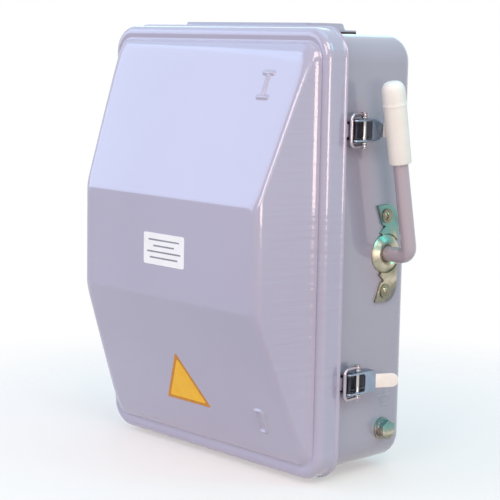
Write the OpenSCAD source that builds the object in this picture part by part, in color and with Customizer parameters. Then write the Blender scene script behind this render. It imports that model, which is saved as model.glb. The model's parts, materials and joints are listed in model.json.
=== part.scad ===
// Fused switch box for a wall: sheet body, deep-drawn cover, side handle, toggle latches and a sliding fuse carriage.
// Millimetres. +Z up, the wall is the plane y = 0 and the cover faces -Y. Depths are counted from the wall.

/* [Cover] */
// Width over the skirt
cover_w = 300; // [285:1:330]
// Height over the skirt
cover_h = 410; // [380:1:450]
// Corner radius of the skirt, seen from the front
cover_corner_r = 26; // [22:0.5:32]
// Thickness of the drawn sheet
cover_sheet = 1.5; // [1:0.1:2]
// How far the rear lip stands out of the skirt
lip_out = 1.8; // [1:0.1:2.4]
// Depth of the skirt's rear edge
skirt_d = 92.6; // [88:0.2:96]
// Depth of the bead's crest
bead_d = 116.5; // [114:0.5:120]
// Radius of the bead's outer side
bead_r = 6.5; // [5:0.25:8]
// How far the valley behind the bead lies inside the skirt
valley_inset = 10; // [9:0.5:12]
// How far the valley lies behind the bead's crest
valley_drop = 1.5; // [0.5:0.1:2.5]
// Depth of the flat middle panel
panel_d = 174.6; // [165:0.2:190]
// Width of the flat middle panel
panel_w = 246; // [230:1:260]
// Height of the flat middle panel
panel_h = 96; // [80:1:120]
// Edge radius at the sides of the middle panel
panel_edge_r = 4; // [2:0.5:6]

/* [Body] */
// Gap between the cover's skirt and the body at the sides
body_side_gap = 3; // [2:0.25:6]
// Gap between the cover's skirt and the body at the top and the bottom
body_end_gap = 5; // [4:0.25:8]
// Depth of the body's front flange
body_d = 103; // [100:0.5:104]
// Corner radius of the body, seen from the front
body_corner_r = 25; // [20:0.5:32]
// Radius of the rolled back edge
back_edge_r = 12; // [6:0.5:18]
// Thickness of the body sheet
body_sheet = 1.5; // [1:0.1:2]
// Width of the front flange that the seal presses on
flange_w = 9; // [7:0.5:12]
// Distance from the body's sides to the wall holes
wall_hole_side = 42; // [32:1:60]
// Distance from the body's ends to the wall holes
wall_hole_end = 35; // [30:1:60]
// Diameter of the wall holes
wall_hole_dia = 10; // [6:0.5:13]

/* [Cable entries] */
// Length of the raised part of an entry plate at its foot
entry_length = 182; // [140:1:200]
// Depth of the raised part of an entry plate at its foot
entry_w = 50; // [40:1:54]
// Width of the flange round it
entry_flange = 7; // [6:0.5:9]
// Height of the raised part over the flange's underside
entry_rise = 7.8; // [5:0.2:10]
// Depth of the entry plate's middle
entry_mid_d = 53.5; // [50:0.5:56]
// Thickness of the dark seal under it
entry_seal = 2; // [1:0.2:4]

/* [Handle] */
// Diameter of the handle bar
bar_dia = 14; // [12:0.5:16]
// Depth of the shaft's axis
shaft_d = 32; // [30:0.5:36]
// Distance from the body's side to the handle's plane
handle_out = 30; // [27:0.5:40]
// Radius of the bend's middle line
bend_r = 10; // [8.5:0.5:14]
// Length from the shaft's axis to the grip's tip
handle_l = 162.5; // [140:0.5:190]
// Lean of the handle towards the cover when switched on
handle_lean = 11; // [8:0.5:16]
// Swing of the handle from on to off
handle_swing = 156; // [140:1:164]
// Length of the grip
grip_l = 75; // [60:1:90]
// Diameter of the grip at its widest
grip_dia = 21.6; // [19:0.2:26]

/* [Latches] */
// Distance from the cover's end to each latch
latch_end = 90; // [75:0.5:105]
// Distance from the skirt's rear edge back to the base pin
latch_pin_back = 6.6; // [6:0.2:8]
// Distance from the base pin back to the claw pin
claw_throw = 12; // [11:0.5:14]
// Distance from the base pin back to the tail's end
latch_reach = 53; // [50:1:60]
// Height of the claw frame
claw_h = 31.5; // [30:0.5:36]

/* [Fuses] */
// Distance between poles
pole_pitch = 70; // [66:1:71]
// Side of a fuse's square ceramic body
fuse_side = 42; // [36:1:44]
// Length of a fuse's ceramic body
fuse_l = 58; // [50:1:62]
// Length of a fuse's blade
blade_l = 27; // [24:0.5:30]
// Width of a fuse's blade
blade_w = 20; // [16:1:24]
// Thickness of a fuse's blade
blade_t = 5; // [4:0.5:6]
// Depth of the fuses' middle when switched on
fuse_d = 69; // [68:0.5:72]
// Radius of the crank that moves the carriage
crank_r = 18; // [16:0.5:18.5]

/* [Hidden] */
$fn = 48;
over = 1;
running_gap = 0.05;
free_gap = 0.3;
poles = [-1, 0, 1];
sides = [-1, 1];

// Cover: driving half sizes and the lines that its walls follow
cover_a = cover_w / 2;
cover_b = cover_h / 2;
lip_len = 1.6;
valley_d = bead_d - valley_drop;
valley_a = cover_a - valley_inset;
valley_b = cover_b - valley_inset;
wall_foot_inset = 11;
wall_blend = 1.2;
panel_blend = 3.5;
panel_blend_power = 1.5;
hip_r = 3;
hip_blend = 12;
inner_r_min = 0.6;
corner_steps = 7;
bead_step = 18;
panel_edge_steps = 4;
dip_shares = [0.34, 0.67, 1];
rise_shares = [0.008, 0.03, 0.06, 0.1, 0.15, 0.22, 0.35, 0.55, 0.75, 1];
wall_tilt = atan2(panel_d - valley_d, cover_a - wall_foot_inset - panel_w / 2);
panel_edge_d = panel_d - panel_edge_r * (1 - cos(wall_tilt));
panel_edge_a = panel_w / 2 - panel_edge_r * tan(wall_tilt / 2);

// Body
body_w = cover_w - 2 * body_side_gap;
body_h = cover_h - 2 * body_end_gap;
body_a = body_w / 2;
body_b = body_h / 2;
wall_hole_x = body_w - 2 * wall_hole_side;
wall_hole_z = body_h - 2 * wall_hole_end;

// Seal in the cover's bead
seal_inset = 4;
seal_w = 8.8;
seal_front_d = valley_d - cover_sheet - free_gap;

// Entry plates
entry_corner_r = 8;
entry_slope = 1.6;
entry_screw_shares = [-0.7, 0, 0.7];
entry_sheet = 1.5;
entry_hole_margin = 16;
entry_screw_r = 1.9;
entry_screw_head_r = 3.2;
entry_screw_head_h = 2.6;
entry_screw_l = 8;

// Bearing plate and shaft
bar_r = bar_dia / 2;
shaft_r = bar_r;
plate_t = 2.5;
collar_r = 18.5;
collar_ring_r = 13;
collar_ring_w = 2;
collar_rise = 5.5;
collar_edge = 1;
collar_dish = 2.6;
foot_mid_z = 31;
foot_arc_r = 14.6;
foot_tip = [-14, 45];
foot_toe = [-6.5, 27];
notch_in = [-2.5, 25.5];
notch_low = [-9.5, 19];
notch_out = 40;
foot_z = 35;
rivet_fwd = 1.5;
rivet_d = shaft_d + rivet_fwd;
rivet_r = 2.5;
rivet_head_r = 4.6;
rivet_head_h = 2.6;
rivet_washer_r = 6.8;
rivet_washer_t = 1.2;
bush_r = 11;
bush_flange_r = 17;
bush_flange_t = 2.5;
bush_l = 12;
shaft_collar_l = 7;
shaft_collar_r = 12;
handle_x = body_a + handle_out;
grip_ring_share = 0.72;
grip_foot_share = 0.94;
grip_wall_end = 9;
grip_ring_w = 1.2;
grip_ring_h = 0.35;
dome_share = 0.42;

// Earth bolt
earth_d = 30;
earth_end = 33.5;
earth_z = earth_end - body_b;
earth_r = 5;
earth_head_r = 9.24;
earth_head_h = 5.8;
earth_washer_r = 10.5;
earth_washer_t = 2;
earth_spring_r = 8.6;
earth_spring_t = 2.4;
earth_shank = 16;
earth_nut_h = 8;
nut_turn = 30;

// Hinges on the left side
hinge_end = 85;
hinge_z = cover_b - hinge_end;
hinge_out = 8.5;
hinge_back = 1;
hinge_web_back = 2.1;
hinge_d = skirt_d - hinge_back;
knuckle_r = 5;
hinge_pin_r = 3;
hinge_pin_head = 1.5;
leaf_half = 12;
bracket_half = 26;
bracket_t = 3;
bracket_l = 38;
leaf_t = 3.5;
leaf_l = 12;
leaf_web = 4.5;
hinge_x = -cover_a - hinge_out;
lip_front_d = skirt_d + lip_len + lip_out;
web_back_d = skirt_d - hinge_web_back;

// Latches, in heights over the body's right side
lever_reach = 30;
latch_z = cover_b - latch_end;
latch_pin_d = skirt_d - latch_pin_back;
claw_pin_d = latch_pin_d - claw_throw;
latch_tail_d = latch_pin_d - latch_reach;
lever_back_d = latch_pin_d - lever_reach;
latch_pin_h = 9;
claw_pin_h = 8;
latch_pin_r = 2;
latch_base_t = 2;
latch_base_half = 8;
latch_ear_t = 1.7;
latch_ear_r = 4;
latch_base_back = 33;
lever_t = 1.5;
lever_h = 13;
lever_floor = 2.6;
lever_half = 9.8;
lever_web_l = 12;
lever_nose = 3.8;
tail_half = 6.2;
tail_t = 1.6;
tail_lift = 9;
claw_wire_r = 1.6;
claw_bend_r = 4.6;
claw_bar_h = 10;
claw_bar_d = skirt_d;
claw_eye_r = 3;
claw_head_r = 2.6;
claw_eye_t = 2.6;
keeper_half = 5.8;
keeper_t = 2;
keeper_l = 2.4;
pin_head_r = 3.2;
pin_head_t = 0.6;
claw_washer_r = 3.4;
claw_washer_t = 1.2;

// Chassis and contact bases
chassis_t = 2.5;
cheek_t = 3;
cheek_gap = 9;
cheek_x = pole_pitch + fuse_side / 2 + cheek_gap;
cheek_half = 24;
chassis_half = 95;
guide_z = -14;
guide_r = 3;
guide_back_d = 16;
guide_front_d = 46;
stud_r = 3;
stud_nut_r = 5.8;
stud_nut_h = 5;
stud_l = 9;
stud_x = 60;
stud_z = 24;
base_low = 33;
base_high = 92;
base_front_d = 42;
base_wall = 6;
barrier_t = 4;
barrier_d = 82;
jaw_low = 36;
jaw_high = 54;
jaw_t = 2.5;
jaw_half = 9;
jaw_d = 80;
jaw_flare = 2;
tab_high = 86;
tab_half = 11;
tab_bolt_z = 70;
tab_bolt_r = 5;
tab_head_r = 9.8;
tab_head_h = 6.4;
tab_washer_t = 2;
tab_washer_r = 10;
tab_bolt_l = 22;

// Fuse carriage
traverse_t = 12;
traverse_half = 26;
side_plate_gap = 4;
side_plate_t = 4;
side_plate_half = 20;
side_plate_x = cheek_x + cheek_t + side_plate_gap;
crank_pin_r = 3.5;
crank_t = 7;
crank_hub_r = 12;
crank_tip_r = 7;
crank_lost_share = 0.097;
crank_start = (180 - handle_swing) / 2;
crank_lost = crank_r * crank_lost_share;
stroke = 2 * (crank_r * cos(crank_start) + crank_lost);
yoke_half = crank_pin_r + crank_lost + free_gap;
yoke_wall = 3.4;
yoke_d = shaft_d - stroke / 2;
yoke_top = crank_r + crank_pin_r + free_gap;
yoke_low = -crank_pin_r - free_gap;
crank_x = side_plate_x + side_plate_t + over;
end_cap_t = 2.5;
end_cap_step = 2;
end_cap_half = fuse_side / 2 - end_cap_step;
fuse_chamfer = 5;
clip_t = 1.5;
clip_half = 8;
clip_l = 30;
clip_foot = 5;

// Helpers: axes, slabs facing the cover and rounded plates

module along_x() rotate([0, 90, 0]) children();
module along_depth() rotate([90, 0, 0]) children();
module upside(z_side) mirror([0, 0, z_side < 0 ? 1 : 0]) children();

// A box from its low corner to its high corner, with depths instead of y
module block(x0, x1, d0, d1, z0, z1) {
    translate([x0, -d1, z0])
        cube([x1 - x0, d1 - d0, z1 - z0]);
}

// A round bar parallel to X, between two places
module rod_x(r, x0, x1, d, z) {
    translate([x0, -d, z])
        along_x()
            cylinder(r = r, h = x1 - x0);
}

// A round bar that runs away from the wall, between two depths
module rod_d(r, d0, d1, x, z) {
    translate([x, -d0, z])
        along_depth()
            cylinder(r = r, h = d1 - d0);
}

// A round bar parallel to Z, between two heights
module rod_z(r, z0, z1, x, d) {
    translate([x, -d, z0])
        cylinder(r = r, h = z1 - z0);
}

module rounded_plate(a, b, r) {
    square([2 * a, 2 * (b - r)], center = true);
    square([2 * (a - r), 2 * b], center = true);
    for (i = sides, j = sides)
        translate([i * (a - r), j * (b - r)])
            circle(r);
}

// A loft through rounded rectangles, each [half width, half height, corner radius, level]

function ring_points(ring) = [
    for (quarter = [0:3], step = [0:corner_steps])
        let (
            turn = 90 * quarter + 90 * step / corner_steps,
            side_x = quarter == 0 || quarter == 3 ? 1 : -1,
            side_y = quarter < 2 ? 1 : -1
        )
        [
            side_x * (ring[0] - ring[2]) + ring[2] * cos(turn),
            side_y * (ring[1] - ring[2]) + ring[2] * sin(turn),
            ring[3]
        ]
];

function ring_size() = 4 * (corner_steps + 1);

function strip_faces(first, second) = [
    for (i = [0:ring_size() - 1])
        let (next = (i + 1) % ring_size())
        each [
            [first + i, second + i, first + next],
            [first + next, second + i, second + next]
        ]
];

// Sheet between an outer and an inner stack of rings, open below the first ring
module pressed_sheet(outer, inner) {
    count = len(outer);
    size = ring_size();
    points = [for (ring = concat(outer, inner)) each ring_points(ring)];
    outer_faces = [for (k = [0:count - 2]) each strip_faces(k * size, (k + 1) * size)];
    inner_faces = [for (k = [0:count - 2]) each strip_faces((count + k + 1) * size, (count + k) * size)];
    edge_faces = strip_faces(count * size, 0);
    outer_cap = [for (i = [size - 1:-1:0]) (count - 1) * size + i];
    inner_cap = [for (i = [0:size - 1]) (2 * count - 1) * size + i];
    polyhedron(points, concat(outer_faces, inner_faces, edge_faces, [outer_cap, inner_cap]), convexity = 6);
}

// Cover shell

function wall_half(d) =
    let (share = (d - valley_d) / (panel_d - valley_d))
    cover_a - wall_foot_inset - share * (cover_a - wall_foot_inset - panel_w / 2)
        + (wall_foot_inset - valley_inset) * exp((valley_d - d) / wall_blend);

function panel_line(d) = cover_b - (d - valley_d) / (panel_d - valley_d) * (cover_b - panel_h / 2);

function panel_half(d) = panel_line(d) - valley_inset * exp(-pow((d - valley_d) / panel_blend, panel_blend_power));

function hip_radius(d) =
    hip_r + (cover_corner_r - valley_inset - hip_r) * exp((valley_d - d) / hip_blend);

function inset_ring(inset, d) = [cover_a - inset, cover_b - inset, cover_corner_r - inset, d];

lip_rings = [
    inset_ring(-lip_out, skirt_d),
    inset_ring(-lip_out, skirt_d + lip_len),
    inset_ring(0, lip_front_d)
];
bead_rings = [
    for (turn = [0:bead_step:90])
        inset_ring(bead_r * (1 - cos(turn)), bead_d - bead_r * (1 - sin(turn)))
];
dip_rings = [
    for (share = dip_shares)
        inset_ring(
            bead_r + (valley_inset - bead_r) * share,
            valley_d + valley_drop * (1 + cos(180 * share)) / 2
        )
];
rise_rings = [
    for (share = rise_shares)
        let (d = valley_d + share * (panel_edge_d - valley_d))
        [wall_half(d), panel_half(d), hip_radius(d), d]
];
panel_edge_rings = [
    for (step = [1:panel_edge_steps])
        let (
            turn = 90 - wall_tilt * (1 - step / panel_edge_steps),
            d = panel_d - panel_edge_r * (1 - sin(turn))
        )
        [panel_edge_a + panel_edge_r * cos(turn), panel_line(d), hip_radius(d), d]
];
cover_outer = concat(lip_rings, bead_rings, dip_rings, rise_rings, panel_edge_rings);
cover_inner = [
    for (k = [0:len(cover_outer) - 1])
        let (ring = cover_outer[k])
        k < len(lip_rings)
            ? concat([for (i = [0:2]) inset_ring(cover_sheet, ring[3])[i]], [ring[3]])
            : [
                ring[0] - cover_sheet,
                ring[1] - cover_sheet,
                max(ring[2] - cover_sheet, inner_r_min),
                ring[3] - cover_sheet
            ]
];

module cover_shell() {
    color("lightsteelblue")
        along_depth()
            pressed_sheet(cover_outer, cover_inner);
}

module cover_seal() {
    color("dimgray")
        translate([0, -body_d - free_gap, 0])
            along_depth()
                linear_extrude(seal_front_d - body_d - free_gap)
                    difference() {
                        rounded_plate(
                            cover_a - seal_inset, cover_b - seal_inset, cover_corner_r - seal_inset);
                        rounded_plate(
                            cover_a - seal_inset - seal_w, cover_b - seal_inset - seal_w,
                            cover_corner_r - seal_inset - seal_w);
                    }
}

// Body shell: one wall section, turned round the corners and run along the sides

module filled_section(r, d0, edge_r) {
    translate([0, d0])
        square([body_corner_r - back_edge_r, body_d - d0]);
    translate([0, back_edge_r])
        square([r, body_d - back_edge_r]);
    translate([body_corner_r - back_edge_r, back_edge_r])
        circle(edge_r);
}

module wall_section() {
    difference() {
        filled_section(body_corner_r, 0, back_edge_r);
        filled_section(body_corner_r - body_sheet, body_sheet, back_edge_r - body_sheet);
    }
    translate([body_corner_r - flange_w, body_d - body_sheet])
        square([flange_w, body_sheet]);
}

module side_run(span) {
    rotate([180, 0, 0])
        linear_extrude(span)
            wall_section();
}

module body_tray() {
    flat_a = body_a - body_corner_r;
    flat_b = body_b - body_corner_r;
    block(-flat_a, flat_a, 0, body_sheet, -flat_b, flat_b);
    for (i = [0:3])
        translate([(i == 0 || i == 3 ? 1 : -1) * flat_a, 0, (i < 2 ? 1 : -1) * flat_b])
            along_depth()
                rotate([0, 0, 90 * i])
                    rotate_extrude(angle = 90)
                        wall_section();
    for (i = [0, 1]) {
        mirror([i, 0, 0])
            translate([flat_a, 0, flat_b])
                side_run(2 * flat_b);
        mirror([0, 0, i])
            translate([-flat_a, 0, flat_b])
                rotate([0, -90, 0])
                    side_run(2 * flat_a);
    }
}

module entry_opening() {
    a = entry_length / 2 - entry_hole_margin;
    b = entry_w / 2 - entry_hole_margin / 2;
    block(-a, a, entry_mid_d - b, entry_mid_d + b, body_b - body_sheet - over, body_b + over);
}

module body_shell() {
    color("lightsteelblue")
        difference() {
            body_tray();
            for (i = sides, j = sides)
                rod_d(wall_hole_dia / 2, -over, body_sheet + over, i * wall_hole_x / 2, j * wall_hole_z / 2);
            rod_x(bush_r, body_a - body_sheet - over, body_a + over, shaft_d, 0);
            for (j = sides) {
                rod_x(rivet_r, body_a - body_sheet - over, body_a + over, rivet_d, j * foot_z);
                upside(j) {
                    entry_opening();
                    entry_screw_places()
                        cylinder(r = entry_screw_r, h = body_sheet + 2 * over, center = true);
                }
            }
            rod_x(earth_r, body_a - body_sheet - over, body_a + over, earth_d, earth_z);
        }
}

// Cable entries, drawn at the top and mirrored to the bottom

module entry_screw_places() {
    for (i = entry_screw_shares, j = sides)
        translate([
            i * entry_length / 2,
            -entry_mid_d + j * (entry_w + entry_flange) / 2,
            body_b - body_sheet / 2
        ])
            children();
}

module entry_plate() {
    a = entry_length / 2;
    b = entry_w / 2;
    r = entry_corner_r;
    t = entry_sheet;
    flange_a = a + entry_flange;
    flange_b = b + entry_flange;
    outer = [
        [flange_a, flange_b, r, 0],
        [flange_a, flange_b, r, t],
        [a, b, r, t],
        [a - entry_slope, b - entry_slope, r, entry_rise - t / 2],
        [a - entry_slope - t / 2, b - entry_slope - t / 2, r - t / 2, entry_rise]
    ];
    inner = [
        [a - t, b - t, r - t, 0],
        [a - t, b - t, r - t, t / 2],
        [a - t, b - t, r - t, t],
        [a - entry_slope - t, b - entry_slope - t, r - t, entry_rise - 2 * t],
        [a - entry_slope - 2 * t, b - entry_slope - 2 * t, r - 2 * t, entry_rise - t]
    ];
    color("lightsteelblue")
        difference() {
            translate([0, -entry_mid_d, body_b + entry_seal])
                pressed_sheet(outer, inner);
            entry_screw_places()
                cylinder(r = entry_screw_r, h = entry_rise + 2 * entry_seal + 2 * over);
        }
}

module entry_seal_ring() {
    a = entry_length / 2;
    b = entry_w / 2;
    color("saddlebrown")
        difference() {
            translate([0, -entry_mid_d, body_b])
                linear_extrude(entry_seal)
                    difference() {
                        rounded_plate(a + entry_flange, b + entry_flange, entry_corner_r);
                        rounded_plate(a - entry_sheet, b - entry_sheet, entry_corner_r);
                    }
            entry_screw_places()
                cylinder(r = entry_screw_r, h = entry_rise + 2 * entry_seal + 2 * over);
        }
}

module entry_screws() {
    head_z = body_sheet / 2 + entry_seal + entry_sheet;
    color("silver")
        entry_screw_places() {
            translate([0, 0, head_z])
                cylinder(r = entry_screw_head_r, h = entry_screw_head_h);
            translate([0, 0, head_z - entry_screw_l])
                cylinder(r = entry_screw_r - running_gap, h = entry_screw_l + entry_sheet / 2);
        }
}

module top_entry_plate() entry_plate();
module top_entry_seal() entry_seal_ring();
module top_entry_screws() entry_screws();
module bottom_entry_plate() upside(-1) entry_plate();
module bottom_entry_seal() upside(-1) entry_seal_ring();
module bottom_entry_screws() upside(-1) entry_screws();

// Shaft bearing on the right side

module bearing_foot() {
    translate([0, foot_mid_z])
        circle(foot_arc_r);
    polygon([foot_tip, foot_toe, [0, foot_mid_z], [0, foot_mid_z + foot_arc_r]]);
    translate([notch_in[0], 0])
        square([foot_arc_r - notch_in[0], foot_mid_z]);
}

module bearing_notch() {
    polygon([
        notch_in, foot_toe, foot_tip,
        [-notch_out, foot_tip[1]], [-notch_out, notch_low[1]], notch_low
    ]);
}

module bearing_outline() {
    difference() {
        union() {
            bearing_foot();
            mirror([0, 1])
                bearing_foot();
        }
        bearing_notch();
        mirror([0, 1])
            bearing_notch();
        circle(collar_r - running_gap);
    }
}

module collar_section() {
    bore_r = shaft_r + running_gap;
    polygon([
        [bore_r, 0], [collar_r, 0], [collar_r, collar_edge], [collar_ring_r, collar_rise],
        [collar_ring_r - collar_ring_w, collar_rise], [bore_r, collar_rise - collar_dish]
    ]);
}

module bearing_plate() {
    color("darkkhaki")
        difference() {
            union() {
                translate([body_a, -shaft_d, 0])
                    rotate([90, 0, 90])
                        linear_extrude(plate_t)
                            bearing_outline();
                translate([body_a, -shaft_d, 0])
                    along_x()
                        rotate_extrude()
                            collar_section();
            }
            for (j = sides)
                rod_x(rivet_r, body_a - over, body_a + plate_t + over, rivet_d, j * foot_z);
        }
}

module rivet_section() {
    inside_l = body_sheet + rivet_head_h;
    washer_x = plate_t;
    head_x = plate_t + rivet_washer_t;
    dome_r = (pow(rivet_head_r, 2) + pow(rivet_head_h, 2)) / (2 * rivet_head_h);
    translate([0, -inside_l])
        square([rivet_r - running_gap, inside_l + head_x]);
    translate([0, -inside_l])
        square([rivet_head_r, rivet_head_h]);
    translate([0, washer_x])
        square([rivet_washer_r, rivet_washer_t]);
    intersection() {
        translate([0, head_x + rivet_head_h - dome_r])
            circle(dome_r);
        translate([0, head_x])
            square([rivet_head_r + over, rivet_head_h + over]);
    }
}

module bearing_rivets() {
    color("silver")
        for (j = sides)
            translate([body_a, -rivet_d, j * foot_z])
                along_x()
                    rotate_extrude()
                        rivet_section();
}

module shaft_bush() {
    wall_x = body_a - body_sheet;
    color("goldenrod")
        difference() {
            union() {
                rod_x(bush_flange_r, wall_x - bush_flange_t, wall_x, shaft_d, 0);
                rod_x(bush_r - running_gap, wall_x - bush_l, body_a, shaft_d, 0);
            }
            rod_x(shaft_r + running_gap, wall_x - bush_l - over, body_a + over, shaft_d, 0);
        }
}

// Handle, drawn upright with the shaft's axis at the origin and then leaned

module at_shaft() {
    translate([0, -shaft_d, 0])
        rotate([handle_lean, 0, 0])
            children();
}

module handle_bar() {
    shaft_end = handle_x - bend_r;
    color("lightsteelblue")
        at_shaft() {
            translate([crank_x, 0, 0])
                along_x()
                    cylinder(r = shaft_r, h = shaft_end - crank_x);
            translate([shaft_end, 0, bend_r])
                rotate([90, 0, 0])
                    rotate([0, 0, -90])
                        rotate_extrude(angle = 90)
                            translate([bend_r, 0])
                                circle(bar_r);
            translate([handle_x, 0, bend_r])
                cylinder(r = bar_r, h = handle_l - grip_wall_end - bend_r);
        }
}

module handle_grip() {
    r = grip_dia / 2;
    foot_r = r * grip_foot_share;
    dome_h = r * dome_share;
    ring_z = grip_l * grip_ring_share;
    bore_l = grip_l - grip_wall_end;
    dome_r = (pow(r, 2) + pow(dome_h, 2)) / (2 * dome_h);
    color("ivory")
        at_shaft()
            translate([handle_x, 0, handle_l - grip_l])
                difference() {
                    union() {
                        cylinder(r1 = foot_r, r2 = r, h = ring_z);
                        translate([0, 0, ring_z])
                            cylinder(r = r, h = grip_l - dome_h - ring_z);
                        translate([0, 0, ring_z - grip_ring_w])
                            cylinder(r = r + grip_ring_h, h = grip_ring_w);
                        translate([0, 0, grip_l - dome_h])
                            intersection() {
                                translate([0, 0, dome_h - dome_r])
                                    sphere(dome_r);
                                cylinder(r = r, h = dome_h + over);
                            }
                    }
                    translate([0, 0, -over])
                        cylinder(r = bar_r + running_gap, h = bore_l + over + running_gap);
                }
}

module at_crank() {
    translate([crank_x, -shaft_d, 0])
        rotate([crank_start - 90, 0, 0])
            children();
}

module crank_arm() {
    color("darkgray")
        at_crank()
            difference() {
                union() {
                    along_x()
                        cylinder(r = crank_hub_r, h = crank_t);
                    translate([0, 0, crank_r])
                        along_x()
                            cylinder(r = crank_tip_r, h = crank_t);
                    translate([0, -crank_tip_r, 0])
                        cube([crank_t, 2 * crank_tip_r, crank_r]);
                }
                translate([-over, 0, 0])
                    along_x()
                        cylinder(r = shaft_r + running_gap, h = crank_t + 2 * over);
                translate([-over, 0, crank_r])
                    along_x()
                        cylinder(r = crank_pin_r + running_gap, h = crank_t + 2 * over);
            }
}

module crank_pin() {
    pin_l = side_plate_t + 2 * over + crank_t;
    color("silver")
        at_crank()
            translate([crank_t - pin_l, 0, crank_r])
                along_x()
                    cylinder(r = crank_pin_r, h = pin_l);
}

module shaft_collar() {
    collar_x = body_a - body_sheet - bush_l - shaft_collar_l - free_gap;
    color("darkgray")
        difference() {
            rod_x(shaft_collar_r, collar_x, collar_x + shaft_collar_l, shaft_d, 0);
            rod_x(shaft_r + running_gap, collar_x - over, collar_x + shaft_collar_l + over, shaft_d, 0);
        }
}

// Earth bolt

module earth_bolt() {
    head_x = body_a + earth_washer_t + earth_spring_t;
    color("darkkhaki") {
        translate([head_x, -earth_d, earth_z])
            along_x()
                cylinder(r = earth_head_r, h = earth_head_h, $fn = 6);
        rod_x(earth_r - running_gap, head_x - earth_shank, head_x + earth_head_h / 2, earth_d, earth_z);
    }
}

module ring_x(r_out, r_in, x0, x1, d, z) {
    difference() {
        rod_x(r_out, x0, x1, d, z);
        rod_x(r_in, x0 - over, x1 + over, d, z);
    }
}

module earth_washer() {
    color("darkkhaki")
        ring_x(earth_washer_r, earth_r + running_gap, body_a, body_a + earth_washer_t, earth_d, earth_z);
}

module earth_spring_washer() {
    x0 = body_a + earth_washer_t;
    color("silver")
        ring_x(earth_spring_r, earth_r + running_gap, x0, x0 + earth_spring_t, earth_d, earth_z);
}

module earth_nut() {
    x1 = body_a - body_sheet;
    color("darkkhaki")
        difference() {
            translate([x1 - earth_nut_h, -earth_d, earth_z])
                rotate([nut_turn, 0, 0])
                    along_x()
                        cylinder(r = earth_head_r, h = earth_nut_h, $fn = 6);
            rod_x(earth_r, x1 - earth_nut_h - over, x1 + over, earth_d, earth_z);
        }
}

// Hinges on the left side

module hinge_bracket(z) {
    side_x = -body_a;
    knuckle_from = leaf_half + free_gap;
    translate([0, 0, z])
        color("lightsteelblue")
            difference() {
                union() {
                    block(side_x - bracket_t, side_x, web_back_d - bracket_l, web_back_d, -bracket_half, bracket_half);
                    for (j = sides)
                        upside(j) {
                            block(hinge_x, side_x, web_back_d - bracket_t, web_back_d, knuckle_from, bracket_half);
                            rod_z(knuckle_r, knuckle_from, bracket_half, hinge_x, hinge_d);
                        }
                }
                rod_z(hinge_pin_r + running_gap, -bracket_half - over, bracket_half + over, hinge_x, hinge_d);
            }
}

module hinge_leaf(z) {
    plate_back_d = lip_front_d + free_gap;
    translate([0, 0, z])
        color("lightsteelblue")
            difference() {
                union() {
                    block(-cover_a - leaf_t, -cover_a, plate_back_d, plate_back_d + leaf_l, -leaf_half, leaf_half);
                    block(
                        hinge_x, -cover_a - lip_out - free_gap,
                        plate_back_d + bracket_t - leaf_web, plate_back_d + bracket_t, -leaf_half, leaf_half);
                    rod_z(knuckle_r, -leaf_half, leaf_half, hinge_x, hinge_d);
                }
                rod_z(hinge_pin_r + running_gap, -leaf_half - over, leaf_half + over, hinge_x, hinge_d);
            }
}

module hinge_pin(z) {
    translate([0, 0, z])
        color("silver") {
            rod_z(hinge_pin_r, -bracket_half - hinge_pin_head, bracket_half + hinge_pin_head, hinge_x, hinge_d);
            rod_z(knuckle_r - hinge_pin_head / 2, bracket_half, bracket_half + hinge_pin_head, hinge_x, hinge_d);
        }
}

module upper_hinge_bracket() hinge_bracket(hinge_z);
module lower_hinge_bracket() hinge_bracket(-hinge_z);
module upper_hinge_leaf() hinge_leaf(hinge_z);
module lower_hinge_leaf() hinge_leaf(-hinge_z);
module upper_hinge_pin() hinge_pin(hinge_z);
module lower_hinge_pin() hinge_pin(-hinge_z);

// Toggle latches on the right side

module latch_base(z) {
    front_d = latch_pin_d + latch_ear_r;
    pin_x = body_a + latch_pin_h;
    translate([0, 0, z])
        color("lightsteelblue")
            difference() {
                union() {
                    block(
                        body_a, body_a + latch_base_t, latch_pin_d - latch_base_back, front_d,
                        -latch_base_half, latch_base_half);
                    for (j = sides)
                        upside(j) {
                            block(
                                body_a, pin_x, latch_pin_d - latch_ear_r, front_d,
                                latch_base_half - latch_ear_t, latch_base_half);
                            rod_z(latch_ear_r, latch_base_half - latch_ear_t, latch_base_half, pin_x, latch_pin_d);
                        }
                }
                rod_z(latch_pin_r + running_gap, -latch_base_half - over, latch_base_half + over, pin_x, latch_pin_d);
            }
}

module latch_pin(z) {
    pin_x = body_a + latch_pin_h;
    end_z = lever_half + running_gap;
    translate([0, 0, z])
        color("silver") {
            rod_z(latch_pin_r, -end_z - pin_head_t, end_z + pin_head_t, pin_x, latch_pin_d);
            for (j = sides)
                upside(j)
                    rod_z(pin_head_r, end_z, end_z + pin_head_t, pin_x, latch_pin_d);
        }
}

module lever_tail() {
    run = lever_back_d - latch_tail_d - tail_half;
    turn = atan2(tail_lift, run);
    length = norm([run, tail_lift]);
    translate([body_a + lever_h - tail_t, -lever_back_d - tail_t, 0])
        rotate([0, 0, -turn])
            rotate([90, 0, 90])
                linear_extrude(tail_t) {
                    translate([0, -tail_half])
                        square([length, 2 * tail_half]);
                    translate([length, 0])
                        circle(tail_half);
                }
}

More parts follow.
